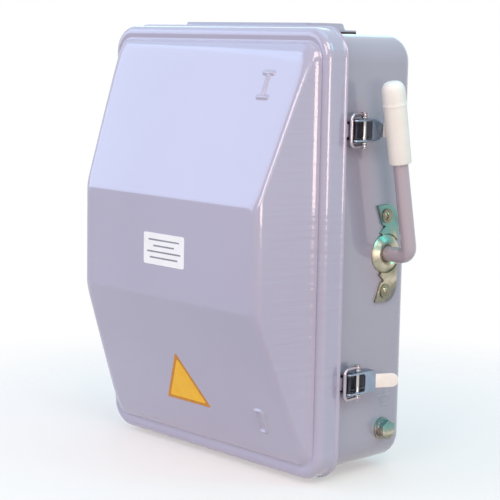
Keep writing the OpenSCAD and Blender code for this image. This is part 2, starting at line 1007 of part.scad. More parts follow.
module latch_lever(z) {
    low_x = body_a + lever_floor;
    high_x = body_a + lever_h;
    pin_x = body_a + latch_pin_h;
    inner = lever_half - lever_t;
    translate([0, 0, z])
        color("gainsboro")
            difference() {
                union() {
                    for (j = sides)
                        upside(j) {
                            block(low_x, high_x, lever_back_d, latch_pin_d, inner, lever_half);
                            rod_z(lever_nose, inner, lever_half, pin_x, latch_pin_d);
                        }
                    block(
                        high_x - lever_t, high_x, lever_back_d, lever_back_d + lever_web_l,
                        -lever_half, lever_half);
                    lever_tail();
                }
                rod_z(latch_pin_r + running_gap, -lever_half - over, lever_half + over, pin_x, latch_pin_d);
                rod_z(
                    latch_pin_r + running_gap, -lever_half - over, lever_half + over,
                    body_a + claw_pin_h, claw_pin_d);
            }
}

module claw_pin(z) {
    pin_x = body_a + claw_pin_h;
    leg_in = claw_h / 2 - 2 * claw_wire_r;
    end_z = claw_h / 2 + running_gap;
    translate([0, 0, z])
        color("silver") {
            rod_z(latch_pin_r, -end_z - pin_head_t, end_z + pin_head_t, pin_x, claw_pin_d);
            for (j = sides)
                upside(j) {
                    rod_z(claw_head_r, end_z, end_z + pin_head_t, pin_x, claw_pin_d);
                    rod_z(claw_washer_r, leg_in - free_gap - claw_washer_t, leg_in - free_gap, pin_x, claw_pin_d);
                }
        }
}

// A wire frame from the claw pin forward to the cover's lip, with its ends flattened into eyes
module claw(z) {
    rise = claw_bar_h - claw_pin_h;
    run = claw_bar_d - claw_pin_d;
    reach = norm([rise, run]);
    leg_z = claw_h / 2 - claw_wire_r;
    straight = reach - claw_bend_r;
    bar_z = leg_z - claw_bend_r;
    translate([body_a + claw_pin_h, -claw_pin_d, z])
        rotate([0, 0, atan2(rise, run)])
            color("gainsboro")
                difference() {
                    union() {
                        for (j = sides)
                            upside(j) {
                                translate([0, 0, leg_z - claw_eye_t / 2])
                                    cylinder(r = claw_eye_r, h = claw_eye_t);
                                translate([0, 0, leg_z])
                                    along_depth()
                                        cylinder(r = claw_wire_r, h = straight);
                                translate([0, -straight, bar_z])
                                    rotate([90, 0, -90])
                                        rotate_extrude(angle = 90)
                                            translate([claw_bend_r, 0])
                                                circle(claw_wire_r);
                            }
                        translate([0, -reach, -bar_z])
                            cylinder(r = claw_wire_r, h = 2 * bar_z);
                    }
                    translate([0, 0, -claw_h / 2 - over])
                        cylinder(r = latch_pin_r + running_gap, h = claw_h + 2 * over);
                }
}

// A short tongue behind the lip, under the front of the claw
module keeper(z) {
    top_x = cover_a + lip_out;
    translate([0, 0, z])
        color("lightsteelblue")
            block(top_x - keeper_t, top_x, skirt_d - keeper_l, skirt_d, -keeper_half, keeper_half);
}

module upper_keeper() keeper(latch_z);
module lower_keeper() keeper(-latch_z);
module upper_latch_base() latch_base(latch_z);
module lower_latch_base() latch_base(-latch_z);
module upper_latch_pin() latch_pin(latch_z);
module lower_latch_pin() latch_pin(-latch_z);
module upper_latch_lever() latch_lever(latch_z);
module lower_latch_lever() latch_lever(-latch_z);
module upper_claw_pin() claw_pin(latch_z);
module lower_claw_pin() claw_pin(-latch_z);
module upper_claw() claw(latch_z);
module lower_claw() claw(-latch_z);

// Chassis and fixed contacts

module stud_places() {
    for (i = sides, j = sides)
        translate([i * stud_x, -body_sheet, j * stud_z])
            along_depth()
                children();
}

module chassis() {
    plate_d = body_sheet + chassis_t;
    cheek_d = fuse_d + fuse_side / 2 - free_gap;
    cheek_end = cheek_x + cheek_t;
    color("gainsboro")
        difference() {
            union() {
                block(-cheek_end, cheek_end, body_sheet, plate_d, -chassis_half, chassis_half);
                for (i = [0, 1])
                    mirror([i, 0, 0])
                        block(cheek_x, cheek_end, body_sheet, cheek_d, -cheek_half, cheek_half);
            }
            for (i = [0, 1])
                mirror([i, 0, 0])
                    guide_slot();
            stud_places()
                cylinder(r = stud_r + running_gap, h = chassis_t + over);
        }
}

module guide_slot() {
    slot_r = guide_r + running_gap;
    back_d = guide_back_d;
    front_d = guide_front_d + stroke;
    for (d = [back_d, front_d])
        rod_x(slot_r, cheek_x - over, cheek_x + cheek_t + over, d, guide_z);
    block(cheek_x - over, cheek_x + cheek_t + over, back_d, front_d, guide_z - slot_r, guide_z + slot_r);
}

module chassis_studs() {
    color("silver")
        stud_places() {
            cylinder(r = stud_r, h = stud_l);
            translate([0, 0, chassis_t])
                cylinder(r = stud_nut_r, h = stud_nut_h, $fn = 6);
        }
}

module contact_base() {
    half = cheek_x - free_gap;
    back_d = body_sheet + chassis_t;
    cell = pole_pitch / 2 - base_wall;
    color("saddlebrown")
        difference() {
            union() {
                block(-half, half, back_d, base_front_d, base_low, base_high);
                for (i = sides)
                    translate([i * pole_pitch / 2, 0, 0])
                        block(-barrier_t / 2, barrier_t / 2, back_d, barrier_d, base_low, base_high);
            }
            for (pole = poles)
                translate([pole * pole_pitch, 0, 0]) {
                    block(-cell, cell, back_d - over, back_d + base_wall, base_low + base_wall, base_high - base_wall);
                    rod_d(tab_bolt_r + running_gap, back_d, base_front_d + over, 0, tab_bolt_z);
                }
        }
}

module jaws() {
    inner = blade_t / 2 + free_gap;
    web_d = base_front_d + jaw_t;
    color("peru")
        for (pole = poles)
            translate([pole * pole_pitch, 0, 0])
                difference() {
                    union() {
                        block(-jaw_half, jaw_half, base_front_d, web_d, jaw_low, jaw_high);
                        block(-tab_half, tab_half, base_front_d, web_d, jaw_high, tab_high);
                        for (i = [0, 1])
                            mirror([i, 0, 0]) {
                                block(inner, inner + jaw_t, base_front_d, jaw_d, jaw_low, jaw_high);
                                translate([0, 0, jaw_low])
                                    linear_extrude(jaw_high - jaw_low)
                                        polygon([
                                            [inner, -jaw_d],
                                            [inner + jaw_t, -jaw_d],
                                            [inner + jaw_t + jaw_flare, -jaw_d - 2 * jaw_flare],
                                            [inner + jaw_flare, -jaw_d - 2 * jaw_flare]
                                        ]);
                            }
                    }
                    rod_d(tab_bolt_r + running_gap, base_front_d - over, web_d + over, 0, tab_bolt_z);
                }
}

module terminal_bolts() {
    seat_d = base_front_d + jaw_t;
    head_d = seat_d + tab_washer_t;
    color("silver")
        for (pole = poles) {
            x = pole * pole_pitch;
            rod_d(tab_washer_r, seat_d, head_d, x, tab_bolt_z);
            rod_d(tab_bolt_r, head_d - tab_bolt_l, head_d + tab_head_h / 2, x, tab_bolt_z);
            translate([x, -head_d, tab_bolt_z])
                along_depth()
                    cylinder(r = tab_head_r, h = tab_head_h, $fn = 6);
        }
}

module upper_contact_base() contact_base();
module lower_contact_base() upside(-1) contact_base();
module upper_jaws() jaws();
module lower_jaws() upside(-1) jaws();
module upper_terminal_bolts() terminal_bolts();
module lower_terminal_bolts() upside(-1) terminal_bolts();

// Fuse carriage, drawn switched on

module traverse() {
    back_d = fuse_d + fuse_side / 2;
    color("sienna")
        block(-side_plate_x, side_plate_x, back_d, back_d + traverse_t, -traverse_half, traverse_half);
}

module side_plate() {
    front_d = fuse_d + fuse_side / 2 + traverse_t;
    back_d = yoke_d - yoke_half - yoke_wall;
    x0 = side_plate_x;
    x1 = side_plate_x + side_plate_t;
    difference() {
        union() {
            block(x0, x1, back_d, front_d, guide_z - 2 * guide_r, side_plate_half);
            block(x0, x1, back_d, yoke_d + yoke_half + yoke_wall, guide_z - 2 * guide_r, yoke_top + yoke_wall);
        }
        for (d = [guide_back_d, guide_front_d])
            rod_x(guide_r, x0 - over, x1 + over, d, guide_z);
    }
}

module left_side_plate() {
    color("gainsboro")
        mirror([1, 0, 0])
            side_plate();
}

module right_side_plate() {
    color("gainsboro")
        difference() {
            side_plate();
            block(
                side_plate_x - over, side_plate_x + side_plate_t + over,
                yoke_d - yoke_half, yoke_d + yoke_half, yoke_low, yoke_top);
        }
}

module guide_pins() {
    color("silver")
        for (i = [0, 1], d = [guide_back_d, guide_front_d])
            mirror([i, 0, 0])
                rod_x(guide_r - running_gap, cheek_x - over, side_plate_x + side_plate_t, d, guide_z);
}

module fuse_body(pole) {
    half = fuse_side / 2;
    cut = half - fuse_chamfer;
    color("white")
        translate([pole * pole_pitch, -fuse_d, -fuse_l / 2])
            linear_extrude(fuse_l)
                polygon([
                    [half, cut], [cut, half], [-cut, half], [-half, cut],
                    [-half, -cut], [-cut, -half], [cut, -half], [half, -cut]
                ]);
}

module fuse_blades(pole) {
    low = fuse_l / 2;
    blade_from = low + end_cap_t;
    color("peru")
        translate([pole * pole_pitch, 0, 0])
            for (j = sides)
                upside(j) {
                    block(
                        -end_cap_half, end_cap_half, fuse_d - end_cap_half, fuse_d + end_cap_half,
                        low, blade_from);
                    block(
                        -blade_t / 2, blade_t / 2, fuse_d - blade_w / 2, fuse_d + blade_w / 2,
                        blade_from, blade_from + blade_l);
                }
}

module fuse_clips() {
    seat_d = fuse_d + fuse_side / 2;
    x0 = fuse_side / 2 + running_gap;
    color("silver")
        for (pole = poles, i = [0, 1])
            translate([pole * pole_pitch, 0, 0])
                mirror([i, 0, 0]) {
                    block(x0, x0 + clip_t, seat_d - clip_l, seat_d, -clip_half, clip_half);
                    block(x0, x0 + clip_t + clip_foot, seat_d - clip_t, seat_d, -clip_half, clip_half);
                }
}

module left_fuse_body() fuse_body(-1);
module middle_fuse_body() fuse_body(0);
module right_fuse_body() fuse_body(1);
module left_fuse_blades() fuse_blades(-1);
module middle_fuse_blades() fuse_blades(0);
module right_fuse_blades() fuse_blades(1);

body_shell();
chassis();
chassis_studs();
upper_contact_base();
lower_contact_base();
upper_jaws();
lower_jaws();
upper_terminal_bolts();
lower_terminal_bolts();
bearing_plate();
bearing_rivets();
shaft_bush();
upper_hinge_bracket();
lower_hinge_bracket();
upper_hinge_pin();
lower_hinge_pin();
top_entry_plate();
top_entry_seal();
top_entry_screws();
bottom_entry_plate();
bottom_entry_seal();
bottom_entry_screws();
earth_bolt();
earth_washer();
earth_spring_washer();
earth_nut();
upper_latch_base();
lower_latch_base();
upper_latch_pin();
lower_latch_pin();
cover_shell();
cover_seal();
upper_hinge_leaf();
lower_hinge_leaf();
upper_keeper();
lower_keeper();
handle_bar();
handle_grip();
crank_arm();
crank_pin();
shaft_collar();
upper_latch_lever();
lower_latch_lever();
upper_claw_pin();
lower_claw_pin();
upper_claw();
lower_claw();
traverse();
left_side_plate();
right_side_plate();
guide_pins();
fuse_clips();
left_fuse_body();
middle_fuse_body();
right_fuse_body();
left_fuse_blades();
middle_fuse_blades();
right_fuse_blades();
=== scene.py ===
"""Looks of the fused switch box: enamelled cover, plated hardware, milky grip, and the fuse gear behind the cover."""
import json
from math import acos, atan2, cos, exp, pi, radians, sin, tan

import bmesh
import bpy
from mathutils import Matrix, Vector

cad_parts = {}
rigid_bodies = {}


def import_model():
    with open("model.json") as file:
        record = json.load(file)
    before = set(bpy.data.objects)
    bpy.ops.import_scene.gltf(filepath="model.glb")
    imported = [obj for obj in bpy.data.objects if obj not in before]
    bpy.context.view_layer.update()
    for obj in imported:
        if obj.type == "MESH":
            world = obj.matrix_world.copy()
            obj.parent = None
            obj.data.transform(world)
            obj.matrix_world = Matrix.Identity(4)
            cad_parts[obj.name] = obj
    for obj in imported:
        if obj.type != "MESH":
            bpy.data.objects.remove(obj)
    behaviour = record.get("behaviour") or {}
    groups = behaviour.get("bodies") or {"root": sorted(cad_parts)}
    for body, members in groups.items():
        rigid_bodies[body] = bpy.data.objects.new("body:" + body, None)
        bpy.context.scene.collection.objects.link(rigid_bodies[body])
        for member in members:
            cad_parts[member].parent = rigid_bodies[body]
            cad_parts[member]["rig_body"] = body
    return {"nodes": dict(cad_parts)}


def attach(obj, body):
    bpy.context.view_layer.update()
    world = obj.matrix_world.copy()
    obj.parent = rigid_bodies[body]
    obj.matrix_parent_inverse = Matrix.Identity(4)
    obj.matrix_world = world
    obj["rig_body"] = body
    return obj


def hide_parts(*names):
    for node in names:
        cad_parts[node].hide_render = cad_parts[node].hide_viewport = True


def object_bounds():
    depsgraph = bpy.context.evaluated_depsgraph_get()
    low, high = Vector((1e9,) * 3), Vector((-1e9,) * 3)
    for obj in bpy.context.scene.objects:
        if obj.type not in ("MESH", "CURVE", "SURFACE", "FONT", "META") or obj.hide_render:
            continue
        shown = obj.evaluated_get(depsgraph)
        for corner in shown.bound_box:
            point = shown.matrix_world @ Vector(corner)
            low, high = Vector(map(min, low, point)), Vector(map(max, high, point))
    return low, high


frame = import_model()
nodes = frame["nodes"]
solid_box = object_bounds()
MM = 0.001

# ---- Finishes --------------------------------------------------------------------------------------------------


class Finish:
    """A material under construction, with its shader and the place on the object that its patterns read."""

    def __init__(self, name):
        self.material = bpy.data.materials.new(name)
        self.material.use_nodes = True
        self.tree = self.material.node_tree
        self.shader = next(n for n in self.tree.nodes if n.type == "BSDF_PRINCIPLED")
        self.place = self.add("ShaderNodeTexCoord").outputs["Object"]

    def add(self, kind, **settings):
        made = self.tree.nodes.new(kind)
        for key, value in settings.items():
            setattr(made, key, value)
        return made

    def feed(self, socket, source):
        """Links a socket, or sets it where the source is a plain value."""
        if isinstance(source, bpy.types.NodeSocket):
            self.tree.links.new(source, socket)
        else:
            socket.default_value = source
        return self

    def set(self, **values):
        for key, value in values.items():
            self.feed(self.shader.inputs[key.replace("_", " ")], value)

    def stretch(self, scale):
        mapping = self.add("ShaderNodeMapping")
        self.feed(mapping.inputs["Vector"], self.place)
        mapping.inputs["Scale"].default_value = scale
        return mapping.outputs["Vector"]

    def noise(self, scale, detail=2.0, rough=0.5, warp=0.0, at=None):
        made = self.add("ShaderNodeTexNoise")
        self.feed(made.inputs["Vector"], at or self.place)
        for key, value in (("Scale", scale), ("Detail", detail), ("Roughness", rough), ("Distortion", warp)):
            made.inputs[key].default_value = value
        return made.outputs["Fac"]

    def cells(self, scale):
        made = self.add("ShaderNodeTexVoronoi")
        self.feed(made.inputs["Vector"], self.place)
        made.inputs["Scale"].default_value = scale
        return made.outputs["Distance"]

    def ramp(self, source, *stops):
        """A colour ramp with stops of (position, colour)."""
        made = self.add("ShaderNodeValToRGB")
        self.feed(made.inputs["Fac"], source)
        points = made.color_ramp.elements
        while len(points) < len(stops):
            points.new(0.5)
        for point, (where, colour) in zip(points, stops):
            point.position = where
            point.color = (*colour, 1)
        return made.outputs["Color"]

    def spread(self, source, low, high, floor=0.3, ceiling=0.7):
        """Carries a pattern's range, floor to ceiling, over to low to high."""
        made = self.add("ShaderNodeMapRange")
        self.feed(made.inputs["Value"], source)
        for key, value in (("From Min", floor), ("From Max", ceiling), ("To Min", low), ("To Max", high)):
            made.inputs[key].default_value = value
        return made.outputs["Result"]

    def combine(self, first, second, operation="ADD"):
        made = self.add("ShaderNodeMath", operation=operation)
        self.feed(made.inputs[0], first).feed(made.inputs[1], second)
        return made.outputs["Value"]

    def axis(self, name):
        split = self.add("ShaderNodeSeparateXYZ")
        self.feed(split.inputs["Vector"], self.place)
        return split.outputs[name]

    def bump(self, *layers):
        """Layers of (height, depth in metres), coarse first."""
        under = None
        for height, depth in layers:
            made = self.add("ShaderNodeBump")
            self.feed(made.inputs["Height"], height)
            made.inputs["Strength"].default_value = 1.0
            made.inputs["Distance"].default_value = depth
            if under:
                self.feed(made.inputs["Normal"], under)
            under = made.outputs["Normal"]
        self.feed(self.shader.inputs["Normal"], under)


def srgb(red, green, blue):
    """A colour given by its eight-bit screen values."""
    return tuple((c / 255 / 12.92) if c <= 10 else ((c / 255 + 0.055) / 1.055) ** 2.4 for c in (red, green, blue))


# Depth of the enamel's orange peel, and how far from the middle the cover's side walls begin, in metres
PEEL_DEPTH = 0.000012
WALLS_FROM, WALLS_TO = 0.122, 0.129
# How closely the drawing lines on those walls follow each other along x, y and z
DRAWING_LINES = (22, 22, 210)


def enamel(name, light, dark, ripple, drawn=0.0):
    """Sprayed gloss enamel: faint clouding, press ripples in the sheet, a fine orange peel, and drawing lines that
    run round the cover's side walls."""
    f = Finish(name)
    cloud = f.noise(7, 2, 0.45, 0.4)
    f.set(
        Base_Color=f.ramp(cloud, (0.3, dark), (0.72, light)),
        Roughness=f.spread(f.noise(40, 2), 0.18, 0.25),
        IOR=1.5,
        Coat_Weight=0.8,
        Coat_IOR=1.7,
        Coat_Roughness=0.05,
    )
    layers = [(f.noise(15, 0.6, 0.35), ripple), (f.noise(110, 0), PEEL_DEPTH)]
    if drawn:
        walls = f.spread(f.combine(f.axis("X"), 0, "ABSOLUTE"), 0, 1, WALLS_FROM, WALLS_TO)
        lines = f.noise(1, 1, 0.5, 0, f.stretch(DRAWING_LINES))
        layers.append((f.combine(lines, walls, "MULTIPLY"), drawn))
    f.bump(*layers)
    return f.material


# How far the colours of yellow-passivated zinc are shifted at a piece's upper end: a painted reflection of the sky,
# sea-green above and straw below
SKY_REFLECTION_ABOVE = 0.28


def chromate(name, low, high, sky_reflection_below=-0.2):
    """Yellow-passivated zinc with a random plating tint and fine plating grain, and a painted sky reflection: straw at
    the height low to sea-green at the height high, both in metres."""
    f = Finish(name)
    # The noise is the plating's own tint; the height term is painted reflection, sea-green where the piece faces the
    # sky and straw lower down
    plating_tint_and_sky_reflection = f.combine(f.noise(26, 3, 0.6, 1.2), f.spread(f.axis("Z"), sky_reflection_below, SKY_REFLECTION_ABOVE, low, high))
    grain = f.noise(900, 2, 0.5, 0, f.stretch((1, 1, 0.12)))
    f.set(
        Base_Color=f.ramp(
            plating_tint_and_sky_reflection,
            (0.12, srgb(118, 120, 122)),
            (0.3, srgb(150, 146, 126)),
            (0.46, srgb(206, 196, 174)),
            (0.58, srgb(150, 164, 150)),
            (0.72, srgb(116, 164, 156)),
            (0.92, srgb(118, 136, 134)),
        ),
        Metallic=1.0,
        Roughness=f.spread(f.noise(140, 3), 0.29, 0.42),
    )
    f.bump((f.noise(70, 2), 0.00018), (grain, 0.00001))
    return f.material


def plating(name, light, dark, rough, grain_way=(1, 1, 0.1)):
    """Bright zinc or bare steel with drawing lines, smudges and a little uneven gloss."""
    f = Finish(name)
    lines = f.noise(900, 1, 0.5, 0, f.stretch(grain_way))
    smudge = f.noise(40, 2, 0.5, 0.5)
    f.set(
        Base_Color=f.ramp(smudge, (0.3, dark), (0.65, light)),
        Metallic=1.0,
        Roughness=f.spread(f.combine(lines, smudge, "MULTIPLY"), rough, rough + 0.12, 0.12, 0.4),
    )
    f.bump((lines, 0.000003))
    return f.material


def milky_plastic(name):
    """Milky polythene: cloudy, slightly translucent, with a soft sheen."""
    f = Finish(name)
    cloud = f.noise(55, 4, 0.6, 0.5)
    f.set(
        Base_Color=f.ramp(cloud, (0.3, srgb(240, 233, 222)), (0.7, srgb(244, 239, 230))),
        Roughness=f.spread(f.noise(120, 2), 0.28, 0.42),
        Subsurface_Weight=0.35,
        Subsurface_Radius=(0.006, 0.0055, 0.005),
        Subsurface_Scale=0.5,
        IOR=1.48,
    )
    f.bump((f.noise(240, 2), 0.00003))
    return f.material


def moulding(name, light, dark, rough):
    """Pressed phenolic: mottled filler and a dull skin."""
    f = Finish(name)
    fleck = f.combine(f.noise(350, 3, 0.7), f.cells(240), "MULTIPLY")
    f.set(
        Base_Color=f.ramp(fleck, (0.1, dark), (0.42, light)),
        Roughness=f.spread(f.noise(90, 3), rough, rough + 0.18),
    )
    f.bump((f.noise(480, 2), 0.00004))
    return f.material


def rubber(name):
    """Brown-black seal rubber, dull and slightly grainy."""
    f = Finish(name)
    f.set(
        Base_Color=f.ramp(f.noise(160, 4, 0.7), (0.3, srgb(38, 28, 24)), (0.75, srgb(74, 58, 48))),
        Roughness=f.spread(f.noise(220, 2), 0.6, 0.85),
    )
    f.bump((f.noise(700, 2), 0.00005))
    return f.material


def contact_metal(name):
    """Silvered brass with warm tarnish."""
    f = Finish(name)
    stain = f.noise(75, 5, 0.65, 1.0)
    f.set(
        Base_Color=f.ramp(stain, (0.28, srgb(142, 96, 58)), (0.5, srgb(196, 160, 104)), (0.75, srgb(214, 190, 150))),
        Metallic=1.0,
        Roughness=f.spread(f.noise(160, 3), 0.29, 0.48),
    )
    f.bump((f.noise(800, 2, 0.5, 0, f.stretch((1, 0.15, 1))), 0.000015))
    return f.material


def glaze(name):
    """Glazed ceramic with iron specks."""
    f = Finish(name)
    speck = f.noise(900, 1, 0.4)
    f.set(
        Base_Color=f.ramp(speck, (0.2, srgb(170, 158, 140)), (0.3, srgb(228, 224, 214)), (0.7, srgb(240, 237, 230))),
        Roughness=f.spread(f.noise(60, 3), 0.14, 0.26),
    )
    f.bump((f.noise(30, 2), 0.0003))
    return f.material


def foil(name, light, dark, rough):
    """Sticker foil, or a thin plastic skin, with faint unevenness under it."""
    f = Finish(name)
    f.set(
        Base_Color=f.ramp(f.noise(90, 4, 0.6), (0.3, dark), (0.7, light)),
        Roughness=f.spread(f.noise(200, 2), rough, rough + 0.12),
    )
    f.bump((f.noise(60, 2), 0.0001))
    return f.material


COVER_ENAMEL = enamel("cover_enamel", srgb(177, 171, 190), srgb(172, 166, 185), 0.0002, 0.00045)
BODY_ENAMEL = enamel("body_enamel", srgb(163, 158, 172), srgb(157, 152, 166), 0.00012)
BAR_ENAMEL = enamel("bar_enamel", srgb(178, 163, 170), srgb(170, 155, 162), 0.0001)
# Both of these zinc finishes carry the painted sky reflection, sea-green towards their upper heights
CHROMATE = chromate("yellow_passivated_zinc", -0.045, 0.03, -0.38)
BOLT_CHROMATE = chromate("bolt_passivated_zinc", -0.172, -0.159)
ZINC = plating("bright_zinc", srgb(184, 174, 182), srgb(160, 150, 160), 0.14)
BLUE_ZINC = plating("blue_zinc", srgb(156, 170, 188), srgb(136, 150, 168), 0.29)
RIVET_ZINC = plating("rivet_zinc", srgb(150, 146, 126), srgb(112, 108, 92), 0.14)
STEEL = plating("turned_steel", srgb(196, 194, 190), srgb(160, 158, 156), 0.14, (0.2, 1, 1))
# Blackened steel for the latch pins; on the latch bases it is painted shade, a dark sheet inside the lever's window
BLACK_STEEL_AND_PAINTED_SHADE = plating("blackened_steel_and_painted_shade", srgb(62, 62, 72), srgb(40, 40, 48), 0.3)
DARK_STEEL = plating("forged_steel", srgb(120, 118, 116), srgb(88, 86, 86), 0.35)
GRIP_PLASTIC = milky_plastic("milky_grip_plastic")
SLEEVE_PLASTIC = foil("cream_tail_sleeve", srgb(246, 236, 226), srgb(236, 222, 210), 0.35)
BROWN_MOULDING = moulding("brown_phenolic", srgb(96, 58, 40), srgb(52, 30, 22), 0.38)
BLACK_MOULDING = moulding("black_phenolic", srgb(64, 58, 54), srgb(30, 27, 26), 0.36)
SEAL_RUBBER = rubber("seal_rubber")
CONTACT_METAL = contact_metal("silvered_brass")
BRONZE = plating("sintered_bronze", srgb(176, 138, 88), srgb(138, 102, 62), 0.36)
FUSE_GLAZE = glaze("fuse_glaze")
LABEL_FOIL = foil("white_label_foil", srgb(254, 252, 246), srgb(249, 246, 240), 0.32)
LABEL_INK = foil("grey_label_ink", srgb(150, 150, 156), srgb(134, 134, 140), 0.45)
STICKER_FOIL = foil("yellow_sticker_foil", srgb(255, 196, 22), srgb(250, 184, 10), 0.3)
STICKER_EDGE = foil("amber_sticker_edge", srgb(214, 140, 10), srgb(196, 124, 6), 0.35)

# ---- Workshop helpers ------------------------------------------------------------------------------------------

# Points of a solid closer than the first, in metres, are one point; lengths below the second are nothing
WELD, TINY = 2e-6, 1e-6
# Folds below the first are flat; above the second they are edges, above the third corners
FLAT, SHARP, SQUARE = radians(0.6), radians(33), radians(60)
# What counts as an edge on the drawn cover, and on the turned grip and the sleeves
DRAWN_SHARP, TURNED_SHARP = radians(40), radians(50)
# Steps round a picked corner, and round a corner of flat work
PICKED_STEPS, FLAT_STEPS = 5, 6


def stand(shape, name, finish, body, replaced=()):
    """Turns a finished bmesh into a piece that rides on a body."""
    mesh = bpy.data.meshes.new(name)
    shape.to_mesh(mesh)
    shape.free()
    piece = bpy.data.objects.new(name, mesh)
    bpy.context.scene.collection.objects.link(piece)
    mesh.materials.append(finish)
    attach(piece, body)
    if replaced:
        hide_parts(*replaced)


def soften(shape, sharp=SHARP):
    """Smooth shading that keeps every real edge."""
    for face in shape.faces:
        face.smooth = True
    for edge in shape.edges:
        edge.smooth = len(edge.link_faces) == 2 and edge.calc_face_angle(pi) < sharp


def folds(shape, angle):
    """The edges where two faces meet at more than an angle."""
    return [e for e in shape.edges if len(e.link_faces) == 2 and e.calc_face_angle(0) > angle]


def round_edges(shape, edges, width, steps=2):
    """Rounds edges to a width in metres."""
    bmesh.ops.bevel(
        shape, geom=edges, offset=width, offset_type="OFFSET", affect="EDGES", segments=steps, profile=0.5,
        material=-1, clamp_overlap=True,
    )


def dress(node, finish, slot, width, steps=2, corners=None, corner_width=0.0):
    """A solid's own form with its loose triangles merged and its edges broken, as a deburred piece has them. Widths
    are in mm."""
    shape = bmesh.new()
    shape.from_mesh(nodes[node].data)
    bmesh.ops.remove_doubles(shape, verts=shape.verts, dist=WELD)
    bmesh.ops.dissolve_limit(shape, angle_limit=FLAT, verts=shape.verts, edges=shape.edges)
    if corners:
        round_edges(shape, [e for e in folds(shape, SQUARE) if corners(e)], corner_width * MM, PICKED_STEPS)
    round_edges(shape, folds(shape, SHARP), width * MM, steps)
    bmesh.ops.remove_doubles(shape, verts=shape.verts, dist=WELD)
    bmesh.ops.triangulate(shape, faces=[f for f in shape.faces if len(f.verts) > 4])
    bmesh.ops.dissolve_degenerate(shape, dist=WELD, edges=shape.edges)
    soften(shape)
    stand(shape, node + "_dressed", finish, nodes[node]["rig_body"], (node,))


def lay_ring(ring, a, b, r, depth):
    """Puts a ring of vertices on a rounded rectangle at a depth in front of the wall."""
    quarter = len(ring) // 4
    for i, vert in enumerate(ring):
        corner, step = divmod(i, quarter)
        turn = (corner + step / (quarter - 1)) * pi / 2
        side_x, side_z = ((1, 1), (-1, 1), (-1, -1), (1, -1))[corner]
        vert.co = Vector((side_x * (a - r) + r * cos(turn), -depth, side_z * (b - r) + r * sin(turn))) * MM


def draw_through(rings, corner_steps):
    """A closed sheet drawn through rings of (half width, half height, corner radius, depth), capped at both ends."""
    shape = bmesh.new()
    ring = bmesh.ops.create_circle(shape, cap_ends=True, radius=1, segments=4 * (corner_steps + 1))["verts"]
    lay_ring(ring, *rings[0])
    edges = shape.edges[:]
    for stage in rings[1:]:
        grown = bmesh.ops.extrude_edge_only(shape, edges=edges)["geom"]
        fresh = [g for g in grown if isinstance(g, bmesh.types.BMVert)]
        edges = [e for e in grown if isinstance(e, bmesh.types.BMEdge) and all(v in fresh for v in e.verts)]
        order = {}
        for vert in fresh:
            old = next(e.other_vert(vert) for e in vert.link_edges if e.other_vert(vert) not in fresh)
            order[vert] = ring.index(old)
        ring = sorted(fresh, key=order.get)
        lay_ring(ring, *stage)
    bmesh.ops.contextual_create(shape, geom=edges)
    bmesh.ops.recalc_face_normals(shape, faces=shape.faces)
    return shape


# ---- Cover -----------------------------------------------------------------------------------------------------

# Lengths in mm. _A is half across, _B half up, _D in front of the wall, _R a radius, _IN in from the skirt
COVER_A, COVER_B, CORNER_R, SHEET = 150.0, 205.0, 26.0, 1.5
SKIRT_D, LIP_OUT, LIP_LEN, LIP_EDGE, LIP_ROUND = 92.6, 1.8, 1.6, 0.4, 0.5
SKIRT_FRONT_D, SKIRT_RUN = SKIRT_D + LIP_LEN + LIP_OUT, 0.8
BEAD_D, BEAD_R, VALLEY_IN, ENDS_IN, VALLEY_DROP = 116.5, 7.2, 8.8, 11.8, 0.7
PANEL_D, PANEL_A, PANEL_B, PANEL_EDGE = 174.4, 123.0, 48.0, 9.0
FOOT_IN, WALL_BLEND, PANEL_BLEND, PANEL_POWER = 11.8, 2.8, 4.2, 1.5
HIP_R, HIP_BLEND, CREASE_R = 8.0, 18.0, 12.0
CAP_IN, CAP_R, LEAST_R = 3, 1.5, 0.6
VALLEY_D = BEAD_D - VALLEY_DROP
PANEL_SLOPE = atan2(PANEL_D - VALLEY_D, COVER_B - PANEL_B)
# Steps round a turn, down to the valley and round a corner
TURN_STEPS, DIP_STEPS, CORNER_STEPS = 12, 6, 14
# Shares of the lip's turn and of the rise to the panel that have a ring, and the depth of the turn
LIP_SHARES, LIP_TURN_D = (0.3, 0.6, 0.85), 0.9 * (LIP_OUT + LIP_ROUND)
RISE_SHARES = (
    0.004, 0.009, 0.015, 0.023, 0.032, 0.042, 0.053, 0.065, 0.08, 0.1, 0.125,
    0.155, 0.19, 0.24, 0.3, 0.38, 0.48, 0.6, 0.72, 0.84, 0.95, 1,
)


